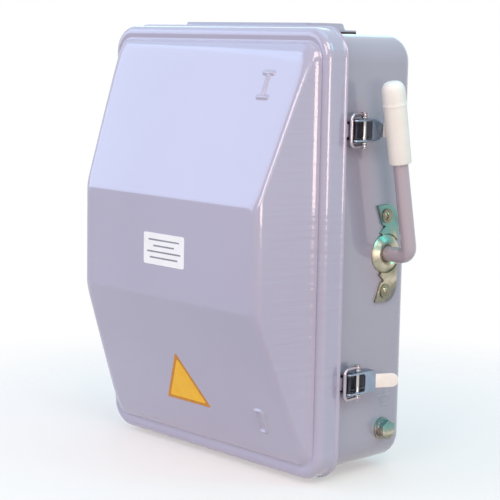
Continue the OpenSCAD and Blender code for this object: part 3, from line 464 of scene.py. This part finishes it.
def cover_section():
    """The cover's outer rings, from the lip to the middle panel."""
    tilt = atan2(PANEL_D - VALLEY_D, COVER_A - FOOT_IN - PANEL_A)
    edge_a = PANEL_A - PANEL_EDGE * tan(tilt / 2)
    edge_d = PANEL_D - PANEL_EDGE * (1 - cos(tilt))
    crease_in = CREASE_R * tan(PANEL_SLOPE / 2)

    def inset(amount, depth, at_ends=None):
        return COVER_A - amount, COVER_B - (at_ends or amount), CORNER_R - amount, depth

    def half_width(d):
        share = (d - VALLEY_D) / (PANEL_D - VALLEY_D)
        foot = COVER_A - FOOT_IN
        return foot - share * (foot - PANEL_A) + (FOOT_IN - VALLEY_IN) * exp((VALLEY_D - d) / WALL_BLEND)

    def half_height(d):
        below = PANEL_D - d
        if below < CREASE_R * (1 - cos(PANEL_SLOPE)):
            return PANEL_B - crease_in + CREASE_R * sin(acos(1 - below / CREASE_R))
        line = COVER_B - (d - VALLEY_D) / (PANEL_D - VALLEY_D) * (COVER_B - PANEL_B)
        return line - ENDS_IN * exp(-(((d - VALLEY_D) / PANEL_BLEND) ** PANEL_POWER))

    def hip(d):
        return HIP_R + (CORNER_R - VALLEY_IN - HIP_R) * exp((VALLEY_D - d) / HIP_BLEND)

    lip_front = SKIRT_D + LIP_LEN - LIP_ROUND
    rings = [inset(LIP_EDGE - LIP_OUT, SKIRT_D), inset(-LIP_OUT, SKIRT_D + LIP_EDGE), inset(-LIP_OUT, lip_front)]
    for share in LIP_SHARES:
        turned = LIP_TURN_D * (1 - cos(share * pi / 2))
        rings.append(inset(-LIP_OUT * (1 - share), lip_front + turned))
    rings += [inset(0, SKIRT_FRONT_D), inset(0, SKIRT_FRONT_D + SKIRT_RUN)]
    for i in range(TURN_STEPS + 1):
        t = i / TURN_STEPS * pi / 2
        rings.append(inset(BEAD_R * (1 - cos(t)), BEAD_D - BEAD_R * (1 - sin(t))))
    for i in range(1, DIP_STEPS + 1):
        share = i / DIP_STEPS
        drop = VALLEY_D + VALLEY_DROP * (1 + cos(pi * share)) / 2
        rings.append(inset(BEAD_R + (VALLEY_IN - BEAD_R) * share, drop, BEAD_R + (ENDS_IN - BEAD_R) * share))
    for share in RISE_SHARES:
        d = VALLEY_D + share * (edge_d - VALLEY_D)
        rings.append((half_width(d), half_height(d), hip(d), d))
    for i in range(1, TURN_STEPS + 1):
        t = pi / 2 - tilt * (1 - i / TURN_STEPS)
        d = PANEL_D - PANEL_EDGE * (1 - sin(t))
        rings.append((edge_a + PANEL_EDGE * cos(t), half_height(d), hip(d), d))
    rings.append((edge_a - CAP_IN, half_height(PANEL_D) - CAP_IN, CAP_R, PANEL_D))
    return rings


def inner_rings(rings):
    """The same sheet one thickness further in, straight behind the lip."""
    made = []
    for a, b, r, d in rings:
        if d <= SKIRT_FRONT_D:
            made.append((COVER_A - SHEET, COVER_B - SHEET, CORNER_R - SHEET, d))
        else:
            made.append((a - SHEET, b - SHEET, max(r - SHEET, LEAST_R), d - SHEET))
    return made


def make_cover():
    """The cover's sheet, outside and inside, in place of its solid."""
    outer = cover_section()
    shape = draw_through(list(reversed(inner_rings(outer))) + outer, CORNER_STEPS)
    soften(shape, DRAWN_SHARP)
    stand(shape, "cover_skin", COVER_ENAMEL, "cover", ("cover_shell",))


# ---- Label, sticker and marks ----------------------------------------------------------------------------------

# Lengths in mm, places as (x, z). _T is a thickness, _R a corner radius
LABEL_AT, LABEL_W, LABEL_H, LABEL_T, LABEL_R = (-1.5, -2.5), 58, 30, 0.12, 2
LINE_WIDTHS, LINE_TOP, LINE_STEP, LINE_H, LINE_T, LINE_R = (44, 30, 48, 40), 8.5, 5.6, 1.5, 0.05, 0.4
STICKER_LEFT, STICKER_RIGHT, STICKER_LOW, STICKER_R = -39.5, 24, -154.5, 2.2
STICKER_TIP = (-7.7, -103.5)
# How much further in the sides' and the tip's corners go than the low edge
SIDE_SHARE, TIP_SHARE = 1.7, 2
# Name, finish, how far in from the sticker's edge, lift and thickness
STICKER_LAYERS = (("sticker_edge", STICKER_EDGE, 0, 0, 0.1), ("sticker_face", STICKER_FOIL, 3.2, 0.1, 0.06))
# Strokes from (x, y) to (x, y), and the off ring's half width, half height and corner radius
ON_STROKES = ((0, -11.5, 0, 11.5), (-5.5, -11.5, 5.5, -11.5), (-5.5, 11.5, 5.5, 11.5))
EARTH_STROKES = ((0, 11, 0, 1.6), (-8, 1.6, 8, 1.6), (-5, -3.2, 5, -3.2), (-2, -8, 2, -8))
OFF_RING = (5, 11, 3)
# Each mark's patch: half width, half height, reach to either side of the line, and rise
ON_PATCH, OFF_PATCH, EARTH_PATCH = (10, 16, 3.2, 1.6), (11, 17, 3.0, 2.0), (11, 14, 1.7, 0.9)
ON_AT, OFF_AT = (90.6, 153.5), (93.5, -153.5)
# Cells for each mm of half a patch, and its thickness
MARK_CELLS, MARK_T = 5, SHEET / 4
# The body's side wall, and the earth sign's place on it
SIDE_X, EARTH_D, EARTH_Z = 147, 27, -137


def on_panel(upper, rise=0.0):
    """Turns flat work, drawn with x across and y up, onto the upper, middle or lower panel: 1, 0 or -1."""
    lean = PANEL_SLOPE * upper
    turn = Matrix.Rotation(pi / 2 - lean, 4, "X")
    middle = Vector((0, -PANEL_D, upper * PANEL_B)) * MM
    out = Vector((0, -cos(lean), sin(lean))) * rise
    return Matrix.Translation(middle + out) @ turn


def panel_point(x, z, upper):
    """Where a height on the object comes to lie in the flat work of that panel."""
    return x * MM, (z - upper * PANEL_B) * MM / cos(PANEL_SLOPE * upper)


def flat_piece(points, thick, corner_r=0.0):
    """A plate cut to an outline, its corners rounded."""
    shape = bmesh.new()
    corners = [shape.verts.new((x, y, 0)) for x, y in points]
    shape.faces.new(corners)
    if corner_r:
        bmesh.ops.bevel(
            shape, geom=shape.verts[:], offset=corner_r, offset_type="OFFSET", affect="VERTICES",
            segments=FLAT_STEPS, profile=0.5, material=-1,
        )
    front = bmesh.ops.extrude_face_region(shape, geom=shape.faces[:])["geom"]
    bmesh.ops.translate(shape, verts=[g for g in front if isinstance(g, bmesh.types.BMVert)], vec=(0, 0, thick))
    bmesh.ops.recalc_face_normals(shape, faces=shape.faces)
    soften(shape)
    return shape


def box_points(x, y, w, h):
    """The corners of a rectangle round a point."""
    return [(x - w / 2, y - h / 2), (x + w / 2, y - h / 2), (x + w / 2, y + h / 2), (x - w / 2, y + h / 2)]


def make_label():
    """A blank white label with plain bars where a form would be filled in."""
    x, y = panel_point(*LABEL_AT, 0)
    plate = flat_piece(box_points(x, y, LABEL_W * MM, LABEL_H * MM), LABEL_T * MM, LABEL_R * MM)
    bmesh.ops.transform(plate, matrix=on_panel(0), verts=plate.verts)
    stand(plate, "blank_label", LABEL_FOIL, "cover")
    bars = bmesh.new()
    for i, width in enumerate(LINE_WIDTHS):
        outline = box_points(x, y + (LINE_TOP - LINE_STEP * i) * MM, width * MM, LINE_H * MM)
        bar = flat_piece(outline, LINE_T * MM, LINE_R * MM)
        bmesh.ops.transform(bar, matrix=on_panel(0, LABEL_T * MM), verts=bar.verts)
        strip = bpy.data.meshes.new("bar")
        bar.to_mesh(strip)
        bar.free()
        bars.from_mesh(strip)
        bpy.data.meshes.remove(strip)
    stand(bars, "label_bars", LABEL_INK, "cover")


def make_sticker():
    """A plain yellow triangle of foil with an amber edge."""
    tip_x, tip_z = STICKER_TIP
    for name, finish, inset, lift, thick in STICKER_LAYERS:
        side, low = SIDE_SHARE * inset, STICKER_LOW + inset
        corners = ((STICKER_LEFT + side, low), (STICKER_RIGHT - side, low), (tip_x, tip_z - TIP_SHARE * inset))
        plate = flat_piece([panel_point(x, z, -1) for x, z in corners], thick * MM, STICKER_R * MM)
        bmesh.ops.transform(plate, matrix=on_panel(-1, lift * MM), verts=plate.verts)
        stand(plate, name, finish, "cover")


def far_from_stroke(x, y, stroke):
    """Distance of a point from a straight stroke's middle line."""
    start, end = Vector(stroke[:2]), Vector(stroke[2:])
    run = end - start
    share = max(0.0, min(1.0, (Vector((x, y)) - start).dot(run) / run.length_squared))
    return (Vector((x, y)) - start - share * run).length


def far_from_ring(x, y, half_w, half_h, r):
    """Distance of a point from a rounded rectangle's line."""
    out_x, out_y = abs(x) - half_w + r, abs(y) - half_h + r
    return abs(Vector((max(out_x, 0), max(out_y, 0))).length + min(max(out_x, out_y), 0) - r)


def press_up(half_w, half_h, reach, rise, distance):
    """A patch of sheet raised softly along a line, cut off where it lies flush. Lengths are in mm."""
    shape = bmesh.new()
    across, up = round(half_w * MARK_CELLS), round(half_h * MARK_CELLS)
    bmesh.ops.create_grid(shape, x_segments=across, y_segments=up, size=1)
    bmesh.ops.scale(shape, vec=(half_w, half_h, 1), verts=shape.verts)
    for vert in shape.verts:
        near = max(0.0, 1 - distance(vert.co.x, vert.co.y) / reach)
        vert.co.z = rise * near * near * (3 - 2 * near)
    flush = [f for f in shape.faces if all(v.co.z < TINY for v in f.verts)]
    bmesh.ops.delete(shape, geom=flush, context="FACES")
    bmesh.ops.solidify(shape, geom=shape.faces[:], thickness=MARK_T)
    bmesh.ops.scale(shape, vec=(MM, MM, MM), verts=shape.verts)
    soften(shape)
    return shape


def make_marks():
    """Pressed-up on and off marks, a stroke with two feet above and a ring below."""
    stroke = press_up(*ON_PATCH, lambda x, y: min(far_from_stroke(x, y, part) for part in ON_STROKES))
    ring = press_up(*OFF_PATCH, lambda x, y: far_from_ring(x, y, *OFF_RING))
    for name, mark, at, upper in (("on_mark", stroke, ON_AT, 1), ("off_mark", ring, OFF_AT, -1)):
        place = on_panel(upper) @ Matrix.Translation((*panel_point(*at, upper), 0))
        bmesh.ops.transform(mark, matrix=place, verts=mark.verts)
        stand(mark, name, COVER_ENAMEL, "cover")


def make_earth_sign():
    """The earth sign, pressed up on the side wall: a stem and three bars that grow shorter."""
    sign = press_up(*EARTH_PATCH, lambda x, y: min(far_from_stroke(x, y, part) for part in EARTH_STROKES))
    place = Matrix.Translation(Vector((SIDE_X, -EARTH_D, EARTH_Z)) * MM)
    place = place @ Matrix.Rotation(pi / 2, 4, "Z") @ Matrix.Rotation(pi / 2, 4, "X")
    bmesh.ops.transform(sign, matrix=place, verts=sign.verts)
    stand(sign, "earth_sign", BODY_ENAMEL, "box")


# ---- Handle ----------------------------------------------------------------------------------------------------

# Lengths in mm: the bar's place and length, and the grip on its end
HANDLE_X, SHAFT_D, HANDLE_LEAN, HANDLE_L, GRIP_L, BAR_R = 177.0, 32.0, radians(11), 162.5, 75.0, 7.05
GRIP_STEPS = 48
# Radius and height in mm: bored foot, slow swell, moulding line and domed end
GRIP_FOOT = [(BAR_R, 0.6), (BAR_R + 0.6, 0.0), (9.2, 0.0), (10.0, 0.5), (10.25, 1.6)]
GRIP_SWELL = [(10.25 + 0.45 * s, 1.6 + 50 * s) for s in (0.3, 0.65, 1.0)]
GRIP_LINE = [(10.72, 52.6), (10.98, 53.0), (11.05, 53.5), (10.98, 54.0), (10.74, 54.4)]
GRIP_DOME = [
    (10.8, 57), (10.8, 62), (10.7, 65.5), (10.3, 68.4), (9.4, 70.9), (7.8, 73.0), (5.4, 74.3), (2.6, 74.9), (0, GRIP_L),
]


def make_grip():
    """The grip, turned from one profile."""
    shape = bmesh.new()
    line = [shape.verts.new((r * MM, 0, z * MM)) for r, z in GRIP_FOOT + GRIP_SWELL + GRIP_LINE + GRIP_DOME]
    edges = [shape.edges.new(pair) for pair in zip(line, line[1:])]
    bmesh.ops.spin(
        shape, geom=line + edges, cent=(0, 0, 0), axis=(0, 0, 1), angle=2 * pi, steps=GRIP_STEPS, use_merge=True,
    )
    bmesh.ops.remove_doubles(shape, verts=shape.verts, dist=TINY)
    foot = [e for e in shape.edges if len(e.link_faces) == 1]
    bmesh.ops.contextual_create(shape, geom=foot)
    bmesh.ops.recalc_face_normals(shape, faces=shape.faces)
    place = Matrix.Translation(Vector((0, -SHAFT_D, 0)) * MM) @ Matrix.Rotation(HANDLE_LEAN, 4, "X")
    place = place @ Matrix.Translation(Vector((HANDLE_X, 0, HANDLE_L - GRIP_L)) * MM)
    bmesh.ops.transform(shape, matrix=place, verts=shape.verts)
    soften(shape, TURNED_SHARP)
    stand(shape, "milky_grip", GRIP_PLASTIC, "handle", ("handle_grip",))


# ---- Latches ---------------------------------------------------------------------------------------------------

# Lengths in mm: the lever with its window and its bent tail, and the sleeve on the tail
LATCH_Z, LEVER_H, LEVER_BACK_D, WINDOW_D, WINDOW_HALF = 115, 13, 56, 68, 9
TAIL_D, TAIL_T, TAIL_LIFT, TAIL_HALF = 33, 1.6, 9.0, 6.2
SLEEVE_WALL, SLEEVE_FROM, SLEEVE_RIM, SLEEVE_STEPS = 0.2, 3.2, 0.4, 8
# Half of the flat that stays on a sleeve's round end, and how near to the window's front edge its corners lie
END_FLAT, WINDOW_NEAR = 0.15, 0.5
# Turns flat work to lie along the tail: its x along the tail, its y up and its z out of the side wall
ALONG_TAIL = Matrix(((0, 0, 1, 0), (1, 0, 0, 0), (0, 1, 0, 0), (0, 0, 0, 1)))


def make_tail_sleeve(side, sign):
    """A cream sleeve slipped over the bent tail of a latch lever, thin enough to pass the grip."""
    run = LEVER_BACK_D - TAIL_D - TAIL_HALF
    turn = atan2(TAIL_LIFT, run)
    start, end = SLEEVE_FROM * MM, (run * run + TAIL_LIFT * TAIL_LIFT) ** 0.5 * MM
    wide = (TAIL_HALF + SLEEVE_WALL) * MM
    outline = [(start, -wide), (end, -wide), (end, wide), (start, wide)]
    shape = flat_piece(outline, (TAIL_T + 2 * SLEEVE_WALL) * MM)
    at_end = [e for e in shape.edges if all(v.co.x > end - TINY for v in e.verts)]
    far = [e for e in at_end if abs(e.verts[0].co.z - e.verts[1].co.z) > TINY]
    bmesh.ops.translate(shape, verts=list({v for e in far for v in e.verts}), vec=(wide, 0, 0))
    round_edges(shape, far, wide - END_FLAT * MM, SLEEVE_STEPS)
    round_edges(shape, folds(shape, TURNED_SHARP), SLEEVE_RIM * MM, 3)
    soften(shape)
    foot = (SIDE_X + LEVER_H - TAIL_T - SLEEVE_WALL, -LEVER_BACK_D - TAIL_T, sign * LATCH_Z)
    place = Matrix.Translation(Vector(foot) * MM) @ Matrix.Rotation(-turn, 4, "Z") @ ALONG_TAIL
    bmesh.ops.transform(shape, matrix=place, verts=shape.verts)
    bmesh.ops.recalc_face_normals(shape, faces=shape.faces)
    stand(shape, f"{side}_tail_sleeve", SLEEVE_PLASTIC, f"{side}_lever")


def window_corner(edge):
    """True for the inner corners of a latch lever's window, which run straight out of the side wall."""
    way = (edge.verts[1].co - edge.verts[0].co).normalized()
    y, z = edge.verts[0].co.y, abs(abs(edge.verts[0].co.z) - LATCH_Z * MM)
    return abs(way.x) > 0.99 and abs(y + WINDOW_D * MM) < WINDOW_NEAR * MM and z < WINDOW_HALF * MM


# ---- Assembly --------------------------------------------------------------------------------------------------

# What each dressed solid takes: its name, finish and slot, the width of its broken edges in mm and, where there are
# more than two, their steps
UPPER_AND_LOWER = (
    ("claw", ZINC, "zinc_plate", 0.3),
    ("latch_lever", BLUE_ZINC, "zinc_plate", 0.3, 2, window_corner, 2.2),
    # The latch base is really body-painted sheet; its blackened steel is painted shade that makes the lever's window
    # read dark
    ("latch_base", BLACK_STEEL_AND_PAINTED_SHADE, "painted_sheet", 0.3),
    ("latch_pin", BLACK_STEEL_AND_PAINTED_SHADE, "bright_steel", 0.25),
    ("keeper", COVER_ENAMEL, "painted_sheet", 0.4),
    ("claw_pin", STEEL, "bright_steel", 0.25),
    ("hinge_bracket", BODY_ENAMEL, "painted_sheet", 0.4),
    ("hinge_leaf", BODY_ENAMEL, "painted_sheet", 0.4),
    ("hinge_pin", STEEL, "bright_steel", 0.4),
    ("contact_base", BROWN_MOULDING, "moulding", 0.8),
    ("jaws", CONTACT_METAL, "contact_metal", 0.3),
    ("terminal_bolts", ZINC, "bright_steel", 0.5),
)
TOP_AND_BOTTOM = (
    ("entry_plate", BODY_ENAMEL, "painted_sheet", 0.5),
    ("entry_seal", SEAL_RUBBER, "seal", 0.3),
    ("entry_screws", ZINC, "bright_steel", 0.7, 3),
)
EACH_POLE = (
    ("fuse_body", FUSE_GLAZE, "fuse_ceramic", 1.2, 3),
    ("fuse_blades", CONTACT_METAL, "contact_metal", 0.5),
)
SINGLE = (
    ("bearing_plate", CHROMATE, "zinc_plate", 0.5),
    ("bearing_rivets", RIVET_ZINC, "bright_steel", 0.25),
    ("earth_bolt", BOLT_CHROMATE, "zinc_plate", 0.6, 3),
    ("earth_washer", BOLT_CHROMATE, "zinc_plate", 0.3),
    ("earth_spring_washer", ZINC, "bright_steel", 0.3),
    ("earth_nut", BOLT_CHROMATE, "zinc_plate", 0.6, 3),
    ("chassis", ZINC, "zinc_plate", 0.4),
    ("chassis_studs", ZINC, "bright_steel", 0.4),
    ("traverse", BLACK_MOULDING, "moulding", 1.5, 3),
    ("left_side_plate", ZINC, "zinc_plate", 0.4),
    ("right_side_plate", ZINC, "zinc_plate", 0.4),
    ("crank_arm", DARK_STEEL, "bright_steel", 0.6),
)
# Solids that keep their own mesh and take a finish only
KEPT_FINISHES = {
    "body_shell": BODY_ENAMEL, "handle_bar": BAR_ENAMEL, "cover_seal": SEAL_RUBBER, "shaft_bush": BRONZE,
    "shaft_collar": DARK_STEEL, "crank_pin": STEEL, "guide_pins": STEEL, "fuse_clips": ZINC,
}


def dress_sides(sides, solids):
    """Dresses solids that come once for each side, with the side in front of their names."""
    for side in sides:
        for name, *how in solids:
            dress(f"{side}_{name}", *how)


def make_hardware():
    """Dresses every solid that has broken edges, and slips the sleeves on the latch tails."""
    for side, sign in (("upper", 1), ("lower", -1)):
        make_tail_sleeve(side, sign)
        dress_sides((side,), UPPER_AND_LOWER)
    dress_sides(("top", "bottom"), TOP_AND_BOTTOM)
    dress_sides(("left", "middle", "right"), EACH_POLE)
    for solid in SINGLE:
        dress(*solid)


def finish_kept_solids():
    """Puts the finishes on the solids that stay as they are."""
    for name, finish in KEPT_FINISHES.items():
        for slot in nodes[name].material_slots:
            slot.link = "OBJECT"
            slot.material = finish


# ---- Stage -----------------------------------------------------------------------------------------------------

# In metres: the floor's radius, and where it begins and ends to run out into the white room
FLOOR_R, RUN_OUT_FROM, RUN_OUT_TO = 0.9, 0.25, 0.62
FLOOR_SIDES = 64
# Share of the floor that is clear where the run-out begins
CLEAR_AT_MIDDLE = 0.4
# Name, place and aim in metres, width, height, power in watts and colour
LAMPS = (
    ("sky_panel", (-2.25, -2.15, 1.15), (0, -0.1, 0.02), 3.0, 1.9, 39, (0.56, 0.71, 1.0)),
    ("high_panel", (-1.98, -0.99, 2.04), (0, -0.1, 0.1), 1.7, 1.1, 5, (0.25, 0.62, 1.0)),
    ("top_panel", (0.2, 0.3, 2.6), (0, 0, 0), 2.0, 2.0, 15, (0.35, 0.72, 1.0)),
    ("warm_panel", (2.36, -0.88, 0.08), (0.1, -0.1, 0), 0.9, 0.55, 10.5, (1.0, 0.83, 0.75)),
    ("right_fill", (1.6, -0.9, 1.6), (0, 0, 0), 1.0, 1.0, 17, (1.0, 0.83, 0.77)),
    ("front_fill", (0.8, -2.5, 1.0), (0, 0, 0), 1.1, 1.1, 19, (1.0, 0.88, 0.85)),
    ("corner_panel", (1.0, 0.35, 0.85), (0.15, -0.05, 0.15), 0.5, 0.5, 2.6, (0.05, 0.95, 1.0)),
    ("back_panel", (-1.9, 2.0, 1.1), (0, 0, 0.1), 2.6, 1.5, 11, (0.3, 0.82, 1.0)),
)
# Light that the room gives, and its colour from below and from above
ROOM_LIGHT, ROOM_BELOW, ROOM_ABOVE = 0.6, (0.7, 0.57, 0.55, 1), (0.6, 0.78, 1, 1)
# The camera's place in metres, and its turn, rise and roll in degrees
STANDPOINT, CAMERA_TURN, CAMERA_RISE, CAMERA_ROLL = (1.06747, -1.07439, 0.1932), 46.601, 7.919, 1.038
LENS_MM, SENSOR_MM = 108.76, 36


def make_floor():
    """A pale floor that keeps the shadow and runs out into the white room."""
    f = Finish("pale_floor")
    shade = f.noise(3, 3)
    f.set(
        Base_Color=f.ramp(shade, (0.3, srgb(251, 239, 229)), (0.7, srgb(253, 242, 233))),
        Roughness=f.spread(shade, 0.7, 0.85),
    )
    reach = f.add("ShaderNodeVectorMath", operation="LENGTH")
    f.feed(reach.inputs[0], f.place)
    run_out = f.spread(reach.outputs["Value"], CLEAR_AT_MIDDLE, 1, RUN_OUT_FROM, RUN_OUT_TO)
    clear = f.add("ShaderNodeBsdfTransparent")
    mix = f.add("ShaderNodeMixShader")
    f.feed(mix.inputs[0], run_out).feed(mix.inputs[1], f.shader.outputs[0]).feed(mix.inputs[2], clear.outputs[0])
    f.feed(f.tree.nodes["Material Output"].inputs["Surface"], mix.outputs[0])
    shape = bmesh.new()
    bmesh.ops.create_circle(shape, cap_ends=True, radius=FLOOR_R, segments=FLOOR_SIDES)
    bmesh.ops.translate(shape, verts=shape.verts, vec=(0, 0, solid_box[0].z))
    mesh = bpy.data.meshes.new("floor")
    shape.to_mesh(mesh)
    shape.free()
    floor = bpy.data.objects.new("floor", mesh)
    bpy.context.scene.collection.objects.link(floor)
    mesh.materials.append(f.material)


def make_lamp(name, place, aim, width, height, power, colour):
    """A soft panel of light that the camera doesn't see."""
    light = bpy.data.lights.new(name, "AREA")
    light.shape = "RECTANGLE"
    light.size, light.size_y = width, height
    light.energy = power
    light.color = colour
    lamp = bpy.data.objects.new(name, light)
    lamp.location = place
    lamp.visible_camera = False
    lamp.rotation_mode = "QUATERNION"
    lamp.rotation_quaternion = (Vector(aim) - Vector(place)).to_track_quat("-Z", "Y")
    bpy.context.scene.collection.objects.link(lamp)


def make_surroundings():
    """A white room: what the camera and the gloss see is white, and the light that it gives is softer."""
    world = bpy.data.worlds.new("white_room")
    bpy.context.scene.world = world
    world.use_nodes = True
    tree = world.node_tree
    seen = tree.nodes["Background"]
    seen.inputs["Color"].default_value = (1, 1, 1, 1)
    seen.inputs["Strength"].default_value = 1.0
    given = tree.nodes.new("ShaderNodeBackground")
    given.inputs["Strength"].default_value = ROOM_LIGHT
    way = tree.nodes.new("ShaderNodeTexCoord")
    split = tree.nodes.new("ShaderNodeSeparateXYZ")
    level = tree.nodes.new("ShaderNodeMapRange")
    level.inputs["From Min"].default_value = -1
    tint = tree.nodes.new("ShaderNodeValToRGB")
    tint.color_ramp.elements[0].color = ROOM_BELOW
    tint.color_ramp.elements[1].color = ROOM_ABOVE
    path = tree.nodes.new("ShaderNodeLightPath")
    either = tree.nodes.new("ShaderNodeMath")
    either.operation = "MAXIMUM"
    any_seen = tree.nodes.new("ShaderNodeMath")
    any_seen.operation = "MAXIMUM"
    mix = tree.nodes.new("ShaderNodeMixShader")
    link = tree.links.new
    link(way.outputs["Generated"], split.inputs[0])
    link(split.outputs["Z"], level.inputs["Value"])
    link(level.outputs[0], tint.inputs["Fac"])
    link(tint.outputs["Color"], given.inputs["Color"])
    link(path.outputs["Is Camera Ray"], either.inputs[0])
    link(path.outputs["Is Glossy Ray"], either.inputs[1])
    link(either.outputs[0], any_seen.inputs[0])
    link(path.outputs["Is Transmission Ray"], any_seen.inputs[1])
    link(any_seen.outputs[0], mix.inputs[0])
    link(given.outputs[0], mix.inputs[1])
    link(seen.outputs[0], mix.inputs[2])
    link(mix.outputs[0], tree.nodes["World Output"].inputs["Surface"])


def make_camera():
    """The photograph's own standpoint."""
    turn, rise, roll = radians(CAMERA_TURN), radians(CAMERA_RISE), radians(CAMERA_ROLL)
    back = Vector((sin(turn) * cos(rise), -cos(turn) * cos(rise), sin(rise)))
    right = (-back).cross(Vector((0, 0, 1))).normalized()
    up = right.cross(-back)
    across_frame = right * cos(roll) + up * sin(roll)
    up_frame = up * cos(roll) - right * sin(roll)
    way = Matrix((across_frame, up_frame, back)).transposed().to_4x4()
    lens = bpy.data.cameras.new("standpoint")
    lens.sensor_width = SENSOR_MM
    lens.lens = LENS_MM
    lens.clip_start, lens.clip_end = 0.05, 100
    camera = bpy.data.objects.new("standpoint", lens)
    camera.matrix_world = Matrix.Translation(STANDPOINT) @ way
    bpy.context.scene.collection.objects.link(camera)
    bpy.context.scene.camera = camera


make_cover()
make_label()
make_sticker()
make_marks()
make_earth_sign()
make_grip()
make_hardware()
finish_kept_solids()
make_floor()
for lamp_setting in LAMPS:
    make_lamp(*lamp_setting)
make_surroundings()
make_camera()
bpy.context.scene.view_settings.view_transform = "Standard"
